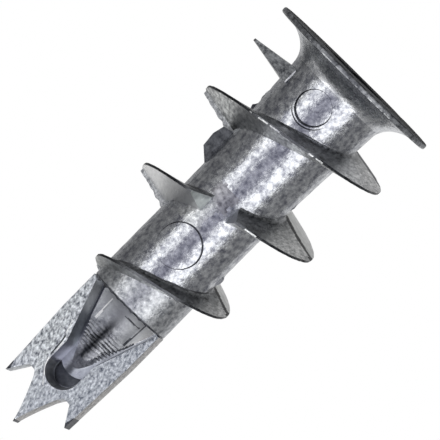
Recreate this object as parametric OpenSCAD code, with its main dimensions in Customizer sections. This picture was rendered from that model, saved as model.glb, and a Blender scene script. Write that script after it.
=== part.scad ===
/* [Head] */
// Diameter of the flange
flange_d = 13.5; // [12.5:0.1:15]
// Thickness of the flange at its rim
rim_t = 0.4; // [0.3:0.05:0.7]
// How far the flare under the flange reaches out from the barrel
flare_w = 2.5; // [1.8:0.1:2.9]
// Height of the flare under the flange
flare_h = 1.9; // [1.2:0.1:2.4]

/* [Barrel] */
// Radius of the barrel next to the flare
neck_r = 3.7; // [3.5:0.05:4]
// Radius of the straight part of the barrel
barrel_r = 3.2; // [3:0.05:3.5]
// Distance from the head face at which the barrel stops tapering
taper_end = 13; // [9:0.5:18]
// Length of the barrel, where the blade begins
barrel_l = 22; // [20:0.5:26]

/* [Thread] */
// Outer diameter of the thread
thread_d = 13.4; // [12:0.1:13.5]
// Distance the thread climbs in one turn
thread_lead = 6.8; // [6:0.1:7.5]
// Distance from the head face to where the thread starts
thread_start = 3.05; // [2.9:0.05:4]
// Turns over which the lead grows to its full value
run_in_turns = 0.83; // [0.5:0.01:1]
// Lead at the very start of the thread
run_in_lead = 1; // [0.5:0.1:2]
// Distance from the head face at which the crest begins to close in
crest_taper_start = 10; // [8:0.5:14]
// Slope of the thread's flank on the head's side, in degrees
flank_head = 8.6; // [7:0.1:12]
// Slope of the thread's flank on the blade's side, in degrees
flank_blade = 10.8; // [7:0.1:12]
// Width of the flat along the crest
crest_w = 0.18; // [0.1:0.01:0.3]
// Depth in front of the axis of the flat that ends the thread at its start
start_flat_y = 2.3; // [1.5:0.1:3]

/* [Gap in the thread] */
// Distance of the gap's middle from the centre plane, across the front
gap_x = -0.28; // [-0.6:0.02:0.6]
// Width of the gap at the barrel
gap_w = 1.7; // [1:0.1:2.5]
// Draft of the gap's two end faces, in degrees
gap_draft = 16.5; // [8:0.5:25]

/* [Casting marks] */
// Diameter of the ejector mark near the head
mark_near_d = 2.64; // [2:0.1:3]
// Distance of that mark from the head face
mark_near_z = 3.5; // [3.4:0.1:4]
// Diameter of the ejector mark near the blade
mark_far_d = 3.3; // [2.5:0.1:3.6]
// Distance of that mark from the head face
mark_far_z = 16.6; // [16:0.1:17.2]
// How far the near mark is sunk into the barrel, and the far one stands proud of it
mark_h = 0.06; // [0.03:0.01:0.15]
// How far the gate stub stands proud of the barrel
stub_h = 0.85; // [0.4:0.05:1.2]
// Length of the gate stub along the barrel
stub_l = 2.8; // [2:0.1:3.4]
// Width of the gate stub
stub_w = 1.7; // [1:0.1:2.2]
// Distance of the gate stub's middle from the head face
stub_z = 10; // [9.6:0.1:10.4]

/* [Bore] */
// Diameter of the funnel at the head face
mouth_d = 5.2; // [5:0.1:5.6]
// Diameter of the bore below the funnel
bore_d = 4.6; // [4.4:0.1:4.8]
// Distance from the head face to which the bore keeps that diameter
bore_straight = 8; // [5:0.5:10]
// Radius of the bore where it leaves the barrel
bore_end_r = 1.9; // [1.7:0.05:2.2]
// Length over which the bore closes in on the trough, beyond the barrel
bore_close = 0.4; // [0.2:0.05:0.8]
// Width of each slot of the cross recess
drive_slot_w = 1.4; // [1.2:0.1:1.8]
// Length of each slot across the head
drive_slot_l = 6; // [5.4:0.1:6.4]
// Depth of the cross recess, and of the funnel it is cut into
drive_depth = 3; // [2.5:0.1:4]

/* [Blade] */
// Length of the blade, from the barrel to the middle tooth's point
blade_l = 11.05; // [10.5:0.05:13]
// Thickness of the blade
blade_t = 2.2; // [1.8:0.1:2.4]
// Half width of the blade where it leaves the barrel
blade_root_w = 3.12; // [3:0.02:3.2]
// Length over which the blade keeps that width
blade_root_l = 3; // [2:0.5:5]
// Half width of the blade at its corner teeth
blade_end_w = 2.85; // [2.7:0.05:3]
// Distance from the barrel to the points of the corner teeth
corner_l = 8.9; // [8.5:0.05:10]
// Distance from the barrel to the bottom of the notches between teeth
notch_l = 7.6; // [7.55:0.05:8.2]
// Half width of the middle tooth at the notches
middle_tooth_w = 1.28; // [1.1:0.02:1.4]
// Half width between the corner teeth at the notches
corner_tooth_x = 2.1; // [1.9:0.05:2.3]

/* [Window] */
// Distance of the window's middle from the centre plane
window_x = -0.08; // [-0.2:0.02:0.2]
// Radius of the round end of the window, at the blade's front face
window_r = 1.3; // [1.1:0.02:1.4]
// Distance from the barrel to the centre of that round end
window_l = 6.2; // [5.6:0.05:6.2]
// Length of the window's parallel stretch beside the round end
window_straight = 1.6; // [1:0.1:2]
// Half width of the window where it meets the barrel, at the blade's front face
window_wide = 2.9; // [2.7:0.01:2.95]
// Draft of the window's walls, in degrees
window_draft = 9; // [4:0.5:12]
// Distance behind the axis of the ledge inside the window
ledge_y = 0.95; // [0.8:0.05:1]

/* [Trough] */
// Radius across the hollow of the trough
trough_round = 5; // [4:0.1:6]
// Length of the trough, from the barrel to where it runs out
trough_l = 5.65; // [5:0.05:5.8]
// Slope of the trough where it runs out, in degrees
trough_rise = 3; // [1:0.5:5]
// Depth of the trough below the ledge at the barrel
trough_depth = 0.56; // [0.4:0.02:0.7]
// Radius across the shallow channel that leads from the bore into the trough
channel_round = 3; // [2.6:0.1:3.6]
// How much deeper than the trough the channel is
channel_depth = 0.1; // [0.06:0.01:0.16]
// Length of the channel
channel_l = 2.2; // [1:0.1:3]
// Distance between the fine ribs across the trough
rib_pitch = 0.24; // [0.2:0.02:0.4]
// Height of each rib
rib_h = 0.04; // [0.02:0.01:0.06]
// Distance from the barrel to the first rib
rib_from = 2.2; // [1.4:0.1:2.5]
// Distance from the barrel to the last rib
rib_to = 4.6; // [4:0.1:5]

/* [Pocket] */
// Distance behind the axis of the bottom of the pocket past the trough
pocket_y = 1.6; // [1.3:0.05:1.7]
// Radius of the lip between the trough and the pocket
lip_r = 1.6; // [1.2:0.05:2]
// Distance from the barrel to the lip's outermost point
lip_l = 6.2; // [5.9:0.05:6.3]

/* [Back] */
// Radius of the half cone behind the blade where the trough ends
boss_end_r = 2.7; // [2.6:0.05:2.8]
// Distance from the barrel to where that half cone has run out
boss_l = 8.6; // [8.4:0.1:9]

/* [Hidden] */
$fn = 96;
zinc = "#a7abb0";
flange_r = flange_d / 2;
thread_r = thread_d / 2;
bore_r = bore_d / 2;
mouth_r = mouth_d / 2;
tip_z = barrel_l + blade_l;
corner_z = barrel_l + corner_l;
notch_z = barrel_l + notch_l;
window_z = barrel_l + window_l;
trough_end_z = barrel_l + trough_l;
channel_end_z = barrel_l + channel_l;
rib_start = barrel_l + rib_from;
rib_end = barrel_l + rib_to;
lip_z = barrel_l + lip_l;
boss_end_z = barrel_l + boss_l;

// Barrel radius at a distance z from the head face: it thins towards taper_end, then stays straight.
function barrel_at(z) = z >= taper_end ? barrel_r
    : barrel_r + (neck_r - barrel_r) * pow((taper_end - z) / (taper_end - rim_t - flare_h), 1.5);

// Half an outline of the head and barrel: rim, quarter-ellipse flare, taper, straight length.
flare_steps = 12;
taper_steps = 6;
flare_top = rim_t + flare_h;
outer_outline = concat(
    [[0, 0], [flange_r, 0], [flange_r, rim_t]],
    [for (i = [0 : flare_steps]) let (a = 90 * (1 - i / flare_steps))
        [neck_r + flare_w * (1 - cos(a)), flare_top - flare_h * sin(a)]],
    [for (i = [1 : taper_steps]) let (z = flare_top + (taper_end - flare_top) * i / taper_steps)
        [barrel_at(z), z]],
    [[barrel_r, barrel_l], [0, barrel_l]]);

module barrel() {
    rotate_extrude() polygon(outer_outline);
}

// Thread: a three-turn auger. The start flat, run-in and crest taper are functions of the angle.
thread_end_z = barrel_l - 0.2;
thread_end_turn = run_in_turns / 2 * (1 - run_in_lead / thread_lead)
    + (thread_end_z - thread_start) / thread_lead;
steps_per_turn = 72;
thread_steps = round(thread_end_turn * steps_per_turn);
zero_turn = start_flat_angle(thread_r) / 360;
thread_root_r = barrel_r - 0.5;
min_crest_r = thread_root_r + 0.3;

function start_flat_angle(r) = -asin(start_flat_y / r);

// Height of the thread's middle after t turns from its start: the lead grows along the run-in.
function thread_z(t) = let (grow = thread_lead - run_in_lead)
    t < run_in_turns
    ? thread_start + run_in_lead * t + grow * t * t / (2 * run_in_turns)
    : thread_start + thread_lead * t - grow * run_in_turns / 2;

// Crest radius at a height z: it closes in slowly, then runs out into the barrel near the blade.
run_out = 1.2;
run_out_step = 0.75;
function crest_at(z) = let (
        share = max(0, z - crest_taper_start) / (thread_end_z - crest_taper_start),
        left = min(1, max(0, thread_end_z - z) / run_out),
        low_r = barrel_r + run_out_step)
    max(min_crest_r, thread_r - (thread_r - low_r) * pow(share, 1.55)
        - (low_r - min_crest_r) * pow(1 - left, 2));

// One corner of the thread's section. Each radius starts on the start flat and ends at the same turn.
function thread_point(step, share_out, side) = let (
        end_angle = 360 * (thread_end_turn + zero_turn),
        rough_turn = thread_end_turn * step / thread_steps,
        crest = crest_at(thread_z(rough_turn)),
        r = thread_root_r + (crest - thread_root_r) * share_out,
        first = start_flat_angle(r),
        angle = first + (end_angle - first) * step / thread_steps,
        half = crest_w / 2 + tan(side < 0 ? flank_head : flank_blade) * (crest - r))
    [r * cos(angle), r * sin(angle), thread_z(angle / 360 - zero_turn) + side * half];

module thread() {
    corners = [[0, -1], [1, -1], [1, 1], [0, 1]];
    points = [for (step = [0 : thread_steps], corner = corners)
        thread_point(step, corner[0], corner[1])];
    walls = [for (step = [0 : thread_steps - 1], k = [0 : 3]) let (
            a = 4 * step + k, b = 4 * step + (k + 1) % 4)
        each [[a, b, b + 4], [a, b + 4, a + 4]]];
    last = 4 * thread_steps;
    ends = [[0, 3, 2, 1], [last, last + 1, last + 2, last + 3]];
    polyhedron(points, concat(walls, ends), convexity = 10);
}

// The gap in the thread: a wedge that opens to the front, cut through the thread's second pass there.
front_pass_turn = 1.75 - zero_turn;
module thread_gap() {
    reach = thread_r + 1;
    inner = barrel_r - 0.35;
    spread = (reach - inner) * tan(gap_draft);
    translate([gap_x, 0, thread_z(front_pass_turn) - 2])
        linear_extrude(4) polygon([[-gap_w / 2, -inner], [gap_w / 2, -inner],
            [gap_w / 2 + spread, -reach], [-gap_w / 2 - spread, -reach]]);
}

// Round patch on the front of the barrel that follows its surface, from one offset to another.
mark_steps = 4;
module ejector_mark(d, z, from, to) {
    levels = [for (i = [0 : mark_steps]) z + d * (i / mark_steps - 0.5)];
    intersection() {
        translate([0, 0, z]) rotate([90, 0, 0]) cylinder(d = d, h = thread_r);
        rotate_extrude() polygon(concat(
            [for (level = levels) [barrel_at(level) + from, level]],
            [for (i = [mark_steps : -1 : 0]) [barrel_at(levels[i]) + to, levels[i]]]));
    }
}

// Where the casting was broken from its runner, on the parting line.
module gate_stub() {
    inner = barrel_r - 0.6;
    outer = barrel_at(stub_z) + stub_h;
    translate([0, stub_w / 2, stub_z]) rotate([90, 0, 0]) linear_extrude(stub_w)
        polygon([[inner, -stub_l / 2 - 0.2], [outer - 0.2, -stub_l * 0.44], [outer, -stub_l * 0.15],
            [outer - 0.1, stub_l * 0.22], [inner, stub_l / 2 + 0.5]]);
}

// Outline of the blade, half of it: side, corner tooth, rounded notch, hollow-sided middle tooth.
notch_steps = 4;
tooth_steps = 4;
blade_tongue_w = sqrt(barrel_r * barrel_r - blade_t * blade_t / 4) - 0.1;
half_blade = concat(
    [[0, barrel_l - 1], [blade_tongue_w, barrel_l - 1], [blade_tongue_w, barrel_l],
        [blade_root_w, barrel_l], [blade_root_w, barrel_l + blade_root_l], [blade_end_w, corner_z]],
    [[corner_tooth_x, notch_z + 0.12]],
    [for (i = [0 : notch_steps]) let (a = 180 * i / notch_steps,
            mid = (corner_tooth_x + middle_tooth_w) / 2, half = (corner_tooth_x - middle_tooth_w) / 2 - 0.06)
        [mid + half * cos(a), notch_z - 0.1 * sin(a)]],
    [for (i = [1 : tooth_steps]) let (f = i / tooth_steps)
        [middle_tooth_w * pow(1 - f, 1.22), notch_z + (tip_z - notch_z) * f]]);

module blade_outline() {
    polygon(half_blade);
    mirror([1, 0]) polygon(half_blade);
}

module blade() {
    translate([0, blade_t / 2, 0]) rotate([90, 0, 0]) linear_extrude(blade_t) blade_outline();
}

// Half cone with a round nose behind the blade: it closes the trough and the pocket at the back.
boss_step = 0.1;
nose_steps = 8;
boss_outline = concat(
    [[0, barrel_l - 1], [barrel_r - boss_step, barrel_l - 1], [barrel_r - boss_step, barrel_l]],
    [for (i = [0 : nose_steps]) let (a = 90 * i / nose_steps)
        [boss_end_r * cos(a), lip_z + (boss_end_z - lip_z) * sin(a)]]);

module back_boss() {
    intersection() {
        rotate_extrude() polygon(boss_outline);
        translate([0, barrel_r, 0]) rotate([90, 0, 0]) linear_extrude(barrel_r) blade_outline();
    }
}

module anchor_outside() {
    barrel();
    difference() {
        thread();
        thread_gap();
    }
    blade();
    back_boss();
    gate_stub();
    ejector_mark(mark_far_d, mark_far_z, -0.5, mark_h);
}

// Outline of the window in X and Z: a round end, a parallel stretch and two sides that part.
arc_steps = 24;
function teardrop(shrink) = let (r = window_r - shrink) concat(
    [for (i = [0 : arc_steps]) let (a = 180 * i / arc_steps) [r * cos(a), window_z + r * sin(a)]],
    [[-r, window_z - window_straight], [shrink - window_wide, barrel_l],
        [window_wide - shrink, barrel_l], [r, window_z - window_straight]]);

// The window: its walls close in by their draft, from in front of the blade down to the ledge.
foot_shrink = (ledge_y + blade_t / 2) * tan(window_draft);
module window() {
    start_y = -blade_t / 2 - 0.5;
    near = [for (p = teardrop(-0.5 * tan(window_draft))) [p[0], start_y, p[1]]];
    far = [for (p = teardrop(foot_shrink)) [p[0], ledge_y, p[1]]];
    n = len(near);
    polyhedron(concat(near, far), concat(
        [[for (i = [n - 1 : -1 : 0]) i], [for (i = [0 : n - 1]) n + i]],
        [for (i = [0 : n - 1]) let (j = (i + 1) % n) [i, j, j + n, i + n]]), convexity = 4);
}

// Cuts an outline drawn in X and Z from just in front of the ledge down to a depth behind the axis.
module cut_behind_ledge(depth_y) {
    translate([0, depth_y, 0]) rotate([90, 0, 0]) linear_extrude(depth_y - ledge_y + 0.1) children();
}

// Radius of the trough's hollow at a height: it deepens towards the barrel.
trough_sweep = (trough_depth - tan(trough_rise) * trough_l) / (trough_l * trough_l);
function trough_r(z) = let (back = trough_end_z - z)
    trough_round + tan(trough_rise) * back + trough_sweep * back * back;

// Dished ramp behind the ledge, with fine ribs across it.
trough_steps = 5;
foot_clear = 0.03;
module trough() {
    intersection() {
        translate([0, ledge_y - trough_round, 0]) rotate_extrude() polygon(concat(
            [[0, barrel_l]],
            [for (i = [0 : trough_steps]) let (z = barrel_l + (rib_start - barrel_l) * i / trough_steps)
                [trough_r(z), z]],
            [for (z = [rib_start : rib_pitch : rib_end])
                each [[trough_r(z + rib_pitch / 2) - rib_h, z + rib_pitch / 2],
                    [trough_r(z + rib_pitch), z + rib_pitch]]],
            [[trough_r(trough_end_z), trough_end_z], [0, trough_end_z]]));
        cut_behind_ledge(barrel_r) polygon(teardrop(foot_shrink + foot_clear));
    }
}

// Shallow channel that leads from the bore into the trough and follows its floor.
module channel() {
    floor_y = ledge_y + channel_depth;
    intersection() {
        translate([0, floor_y - channel_round, 0]) rotate_extrude() polygon(concat(
            [[0, barrel_l]],
            [for (i = [0 : trough_steps]) let (z = barrel_l + (channel_end_z - barrel_l) * i / trough_steps)
                [channel_round + trough_r(z) - trough_round, z]],
            [[0, channel_end_z]]));
        cut_behind_ledge(barrel_r) polygon(teardrop(foot_shrink + foot_clear));
    }
}

// The deep crescent between the lip and the window's round end.
module pocket() {
    lip_axis_z = lip_z - lip_r;
    cut_behind_ledge(pocket_y) difference() {
        intersection() {
            polygon(teardrop(foot_shrink + foot_clear));
            translate([-window_r, lip_axis_z]) square([2 * window_r, lip_r + 2 * window_r]);
        }
        translate([0, lip_axis_z]) circle(lip_r);
    }
}

// Screw passage: funnel, straight bore, a taper to the barrel's end, a short close into the trough.
module bore() {
    rotate_extrude() polygon([[0, -1], [mouth_r, -1], [mouth_r, 0], [bore_r, drive_depth],
        [bore_r, bore_straight], [bore_end_r, barrel_l],
        [ledge_y, barrel_l + bore_close], [0, barrel_l + bore_close]]);
}

module cross_recess() {
    for (turn = [0, 90]) rotate(turn)
        translate([-drive_slot_l / 2, -drive_slot_w / 2, -1]) cube([drive_slot_l, drive_slot_w, drive_depth + 1]);
}

module anchor() {
    color(zinc) difference() {
        anchor_outside();
        bore();
        cross_recess();
        translate([window_x, 0, 0]) {
            window();
            trough();
            channel();
            pocket();
        }
        ejector_mark(mark_near_d, mark_near_z, -mark_h, 1);
    }
}

anchor();
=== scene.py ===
"""Looks of a self-drilling drywall anchor: one zinc casting with its skin, flash and burrs."""
import math

import bmesh
import bpy
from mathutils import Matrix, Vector, noise


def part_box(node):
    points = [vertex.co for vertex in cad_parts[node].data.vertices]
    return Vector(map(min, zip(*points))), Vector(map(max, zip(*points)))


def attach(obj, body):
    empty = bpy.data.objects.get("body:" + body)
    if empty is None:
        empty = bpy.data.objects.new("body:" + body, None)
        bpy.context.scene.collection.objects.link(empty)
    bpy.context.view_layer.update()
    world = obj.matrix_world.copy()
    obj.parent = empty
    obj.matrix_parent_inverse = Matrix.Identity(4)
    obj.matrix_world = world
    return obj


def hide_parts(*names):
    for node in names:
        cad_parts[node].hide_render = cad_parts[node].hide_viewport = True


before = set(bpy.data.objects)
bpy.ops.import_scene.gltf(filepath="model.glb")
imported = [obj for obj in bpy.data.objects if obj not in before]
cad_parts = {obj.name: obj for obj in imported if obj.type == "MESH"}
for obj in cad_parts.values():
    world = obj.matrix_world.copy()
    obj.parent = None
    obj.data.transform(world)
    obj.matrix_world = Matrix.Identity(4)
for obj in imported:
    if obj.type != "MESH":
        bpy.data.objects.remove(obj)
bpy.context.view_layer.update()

MM = 0.001
NODE = "anchor"
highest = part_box(NODE)[1]

# Head, in millimetres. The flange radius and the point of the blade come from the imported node
FLANGE_R = highest[0] / MM
TIP_Z = highest[2] / MM
RIM_T = 0.4
RIM_ROUND = 0.12
FLARE_W = 2.5
FLARE_H = 1.9
FLARE_TOP = RIM_T + FLARE_H
FLARE_SKIN_Z = 1.75
NECK_R = 3.7

# Barrel
BARREL_R = 3.2
TAPER_END = 13.0
TAPER_CURVE = 1.5
BARREL_L = 22.0
END_ROUND = 0.14
END_SKIN_Z = 19.8

# Thread
THREAD_R = 6.7
THREAD_LEAD = 6.8
THREAD_START = 3.05
RUN_IN_TURNS = 0.83
RUN_IN_LEAD = 1.0
CREST_TAPER_START = 10.0
CREST_CURVE = 1.55
FLANK_HEAD = math.tan(math.radians(8.6))
FLANK_BLADE = math.tan(math.radians(10.8))
CREST_W = 0.18
START_FLAT_Y = 2.3
THREAD_ROOT_R = 2.7
ROOT_FILLET = 0.3
MIN_CREST_R = 3.0
LOW_CREST_R = 3.95
THREAD_END_Z = BARREL_L - 0.2
RUN_OUT = 1.2
PALE_TIP_X = -4.1
START_RIDGE = [(-0.08, -0.45), (0.04, -0.5), (0.05, 0.55), (-0.05, 0.65)]

# Gap in the thread
GAP_TURN = 1.75
GAP_X = -0.28
GAP_W = 1.7
GAP_SPREAD = math.tan(math.radians(16.5))

# Casting marks
NEAR_MARK_R = 1.32
NEAR_MARK_Z = 3.5
FAR_MARK_R = 1.65
FAR_MARK_Z = 16.5
MARK_H = 0.06
STUB_H = 0.85
STUB_L = 2.8
STUB_W = 1.7
STUB_Z = 10.0

# Bore and cross recess
MOUTH_R = 2.6
BORE_R = 2.3
BORE_STRAIGHT = 8.0
BORE_END_R = 1.9
BORE_CLOSE = 0.4
SLOT_W = 1.4
SLOT_L = 6.0
DRIVE_DEPTH = 3.0

# Blade
BLADE_T = 2.2
BLADE_ROOT_W = 3.12
BLADE_ROOT_L = 3.0
BLADE_END_W = 2.85
CORNER_Z = 30.9
NOTCH_Z = 29.6
MIDDLE_TOOTH_W = 1.28
TOOTH_CURVE = 1.22
CORNER_TOOTH_X = 2.1
NOTCH_SAG = 0.12
TONGUE_W = math.sqrt(BARREL_R ** 2 - BLADE_T ** 2 / 4) - 0.1

# Window, trough, pocket and the half cone behind them
WINDOW_X = -0.08
WINDOW_R = 1.3
WINDOW_Z = 28.2
WINDOW_STRAIGHT = 1.6
WINDOW_WIDE = 2.9
WINDOW_DRAFT = math.tan(math.radians(9))
LEDGE_Y = 0.95
FOOT_SHRINK = WINDOW_DRAFT * (LEDGE_Y + BLADE_T / 2)
FOOT_CLEAR = 0.01
TROUGH_ROUND = 5.0
TROUGH_END_Z = 27.65
TROUGH_L = TROUGH_END_Z - BARREL_L
TROUGH_RISE = math.tan(math.radians(3))
TROUGH_DEPTH = 0.56
TROUGH_SWEEP = (TROUGH_DEPTH - TROUGH_RISE * TROUGH_L) / TROUGH_L ** 2
CHANNEL_ROUND = 3.0
CHANNEL_DEPTH = 0.1
CHANNEL_END_Z = 24.2
CHANNEL_LINE_Z = 22.75
CHANNEL_LINE_W = 0.1
GLINT_W = 0.13
RIB_PITCH = 0.24
RIB_H = 0.04
RIB_STRENGTH = 0.65
RIB_START = 24.2
RIB_END = 26.6
POCKET_Y = 1.6
LIP_R = 1.6
LIP_Z = 28.2
BOSS_END_R = 2.7
BOSS_END_Z = 30.6
BOSS_STEP = 0.1

# Nicks along the window's edge: their line in X and Z, width and finish
WINDOW_NICKS = [
    ([(2.0, 25.3), (1.82, 25.8), (1.66, 26.3)], 0.07, "land"),
    ([(1.58, 26.4), (1.5, 26.9), (1.45, 27.5), (1.42, 28.0)], 0.09, "seam"),
    ([(1.42, 26.8), (1.35, 27.2), (1.32, 27.6)], 0.08, "land"),
    ([(1.4, 28.2), (1.2, 28.8), (0.78, 29.35)], 0.2, "land"),
    ([(0.72, 29.4), (0.5, 29.65), (0.28, 29.9)], 0.07, "land"),
]

# Blunt ends of the teeth: what lies inside these outlines in X and Z is duller and a hair proud
TOOTH_ENDS = [
    [(-0.3, TIP_Z - 0.1), (0.05, TIP_Z - 0.24), (0.3, TIP_Z - 0.18), (0.3, 34), (-0.3, 34)],
    [(3, 30), (2.82, 30.15), (2.74, 30.45), (2.58, 30.7), (2.4, 31), (3, 31.2)],
    [(-3, 29.9), (-2.83, 30), (-2.77, 30.3), (-2.68, 30.6), (-2.4, 31), (-3, 31.2)],
]
TOOTH_END_GROW = 1.003
TOOTH_END_PROUD = 0.006

# Grooves round the ejector marks: radius, Z, width, depth, widest direction in degrees, narrowing
EJECTOR_GROOVES = [
    (NEAR_MARK_R, NEAR_MARK_Z, 0.17, 0.11, 75, 0.44),
    (NEAR_MARK_R + 0.19, NEAR_MARK_Z, 0.11, 0.09, 95, 1.6),
    (FAR_MARK_R, FAR_MARK_Z, 0.13, 0.07, -115, 0.44),
]

# Fins in the parting plane: how deep they are rooted, the step between their points, the run of their ends
FIN_ROOT = 0.2
FIN_STEP = 0.12
FIN_FADE = 0.4

# Fins along a flank: turn, side, height at the barrel and at the crest, finish, reach
FLANK_FINS = [
    (1, 1, 0.46, 0.25, "flash", THREAD_R),
    (2, 1, 0.46, 0.2, "flash", THREAD_R),
    (3, 1, 0.2, 0.05, "flash", THREAD_R),
    (1, -1, 0.3, -0.4, "edge", BARREL_R + 0.75),
]

# Fins up the barrel: side, from and to in Z, height, finish
WALL_FINS = [
    (1, 4.2, 6.0, 0.14, "flash"),
    (1, 5.95, 6.95, 0.4, "groove"),
    (1, 14.4, 18.0, 0.05, "flash"),
    (-1, 3.0, 3.6, 0.05, "flash"),
    (-1, 9.0, 9.7, 0.16, "flash"),
    (-1, 15.9, 16.9, 0.3, "flash"),
]

# Parting line on the thread: turn, how far behind the middle plane it runs at the barrel and at the crest,
# finish past it
PARTING_LINES = [(0.5, 2.9, 2.7, "edge"), (1.5, 1.6, 0.6, "back_flank"), (2.5, 2.0, 0.5, "back_flank")]

# Where the crest carries painted highlight dashes: from and to in X, from and to in Z, and the noise above
# which it shows
BRIGHT_LAND = [(0.0, 2.5, 5.5, 8.0, -0.05), (-3.4, -2.0, 5.0, 7.0, -0.2), (-3.65, -2.85, 11.5, 13.5, -1)]

# Patches on the barrel's front: middle and half size in X and in Z, waver in X, size of its lumps, seed
SMEAR_PATCH = (0.75, 1.0, 13.9, 1.1, 0.5, 0.5, 41)
GAP_PATCH = (0.1, 0.9, 12.1, 0.75, 0.4, 0.4, 44)

# Unevenness of the skin: depth in mm, size of its lumps in mm, and a seed
SKIN_WAVES = [(0.016, 1.6, 1), (0.012, 0.5, 2)]
HEAD_LUMPS = (0.02, 0.9, 0)
RIM_NICKS = [(0.05, 0.7, 3), (0.03, 0.25, 5)]
END_BURRS = (0.26, 0.45, 33)
CREST_NICKS = (0.05, 0.5, 4)
CREST_BITES = (0.16, 0.9, 8)
CREST_WAVES = (0.02, 0.3, 9)
FLANK_WAVES = (0.007, 0.9, 6)
RIB_STRAY = (0.5, 0.9, 21)
RIB_FADE = (0.5, 0.6, 23)
FLANK_FIN_WAVES = (0.3, 0.35, 11)
WALL_FIN_WAVES = (0.5, 0.3, 17)
WALL_FIN_PEAKS = (0.5, 0.8, 19)

# Only bites deeper than this show, and nicks lie in the outer part of the flanks, past this share
BITES_SPARED = 0.056
CREST_SHARE = 0.86

# A face is sorted by how squarely it looks one way, from 0 to 1
SQUARE_ON = 0.9
HALF_ON = 0.5
CREST_ON = 0.7
START_ON = 0.95

# Mesh steps: the skin's unevenness is carried by points this far apart
FINE = 0.19
AROUND = 208
STEPS_PER_TURN = 210
DISC_POINTS = 64
SMOOTH_ANGLE = math.radians(32)

# Rounding of the blade's edges, thickness of the flash, and how far the edge of a tint strays
EDGE_SOFTENING = 0.06
FLASH_T = 0.09
RAGGED = 0.35


# ---- materials ----

def linear(hex_colour):
    """Turns an sRGB hex value into linear red, green, blue and an alpha of 1."""
    channels = [int(hex_colour[i:i + 2], 16) / 255 for i in (1, 3, 5)]
    return [c / 12.92 if c <= 0.04045 else ((c + 0.055) / 1.055) ** 2.4 for c in channels] + [1]


def per_metre(size_mm):
    """Scale of a procedural pattern whose lumps are size_mm across."""
    return 1 / (size_mm * MM)


def add(tree, kind, settings=None, **links):
    """Adds a node with its settings; each link gives an input a value or another node's output.

    A link is an input's name, or an underscore and its number.
    """
    node = tree.nodes.new(kind)
    for name, value in (settings or {}).items():
        setattr(node, name, value)
    for name, value in links.items():
        place = int(name[1:]) if name[1:].isdigit() else name.replace("_", " ")
        socket = node.inputs[place]
        if isinstance(value, bpy.types.NodeSocket):
            tree.links.new(value, socket)
        else:
            socket.default_value = value
    return node


def new_material(name):
    """An empty node material."""
    material = bpy.data.materials.new(name)
    material.use_nodes = True
    material.node_tree.nodes.clear()
    return material


def tinted(tree, place, waver, colour, axis, centre, near, far, tint, strength=1.0):
    """Colour that turns to a tint around a plane across an axis: full up to near, gone at far, in mm.

    waver is noise around 0.5 that makes the band's edge ragged.
    """
    part = add(tree, "ShaderNodeSeparateXYZ", Vector=place).outputs[axis]
    off = add(tree, "ShaderNodeMath", {"operation": "SUBTRACT"}, _0=part, _1=centre * MM)
    distance = add(tree, "ShaderNodeMath", {"operation": "ABSOLUTE"}, _0=off.outputs[0])
    ragged = add(tree, "ShaderNodeMath", {"operation": "MULTIPLY_ADD"}, _0=waver, _1=RAGGED * MM,
                 _2=distance.outputs[0])
    level = add(tree, "ShaderNodeMath", {"operation": "SUBTRACT"}, _0=ragged.outputs[0], _1=RAGGED / 2 * MM)
    share = add(tree, "ShaderNodeMapRange", {"interpolation_type": "SMOOTHSTEP"}, Value=level.outputs[0],
                From_Min=near * MM, From_Max=far * MM, To_Min=strength, To_Max=0.0)
    mixed = add(tree, "ShaderNodeMix", {"data_type": "RGBA"}, _0=share.outputs[0], _6=colour,
                _7=linear(tint))
    return mixed.outputs[2]


def cast_zinc(name, dark, light, mottle_mm, roughness, grain_mm, grain_depth, tone_and_shade_bands=(), lay=None):
    """As-cast zinc alloy: mottled bare metal, a fine pitted grain, satin to semi-bright.

    tone_and_shade_bands are bands of another tone across the piece, most of them painted light or shade.
    lay is the grain's angle in degrees and its scale along X, Y and Z. The real pits are about 0.05 mm
    across, too fine to show, so the grain is drawn two to six times as coarse.
    """
    material = new_material(name)
    tree = material.node_tree
    place = add(tree, "ShaderNodeTexCoord").outputs["Object"]
    laid = place
    if lay:
        turned = add(tree, "ShaderNodeMapping", Vector=place, Rotation=(0, math.radians(lay[0]), 0))
        laid = add(tree, "ShaderNodeMapping", Vector=turned.outputs[0], Scale=lay[1]).outputs[0]
    mottle = add(tree, "ShaderNodeTexNoise", Vector=laid, Scale=per_metre(mottle_mm), Detail=5.0,
                 Roughness=0.62)
    tone = add(tree, "ShaderNodeMapRange", Value=mottle.outputs["Fac"], From_Min=0.34, From_Max=0.66)
    mixed = add(tree, "ShaderNodeMix", {"data_type": "RGBA"}, _0=tone.outputs["Result"],
                _6=linear(dark), _7=linear(light))
    colour = mixed.outputs[2]
    for tint in tone_and_shade_bands:
        colour = tinted(tree, place, mottle.outputs["Fac"], colour, *tint)
    grain = add(tree, "ShaderNodeTexNoise", Vector=laid, Scale=per_metre(grain_mm), Detail=3.0,
                Roughness=0.6)
    gloss = add(tree, "ShaderNodeMapRange", Value=grain.outputs["Fac"], From_Min=0.3, From_Max=0.7,
                To_Min=roughness[0], To_Max=roughness[1])
    bump = add(tree, "ShaderNodeBump", Strength=1.0, Distance=grain_depth * MM, Height=grain.outputs["Fac"])
    shader = add(tree, "ShaderNodeBsdfPrincipled", Base_Color=colour, Metallic=1.0,
                 Roughness=gloss.outputs["Result"], Normal=bump.outputs["Normal"])
    add(tree, "ShaderNodeOutputMaterial", Surface=shader.outputs["BSDF"])
    return material
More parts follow.
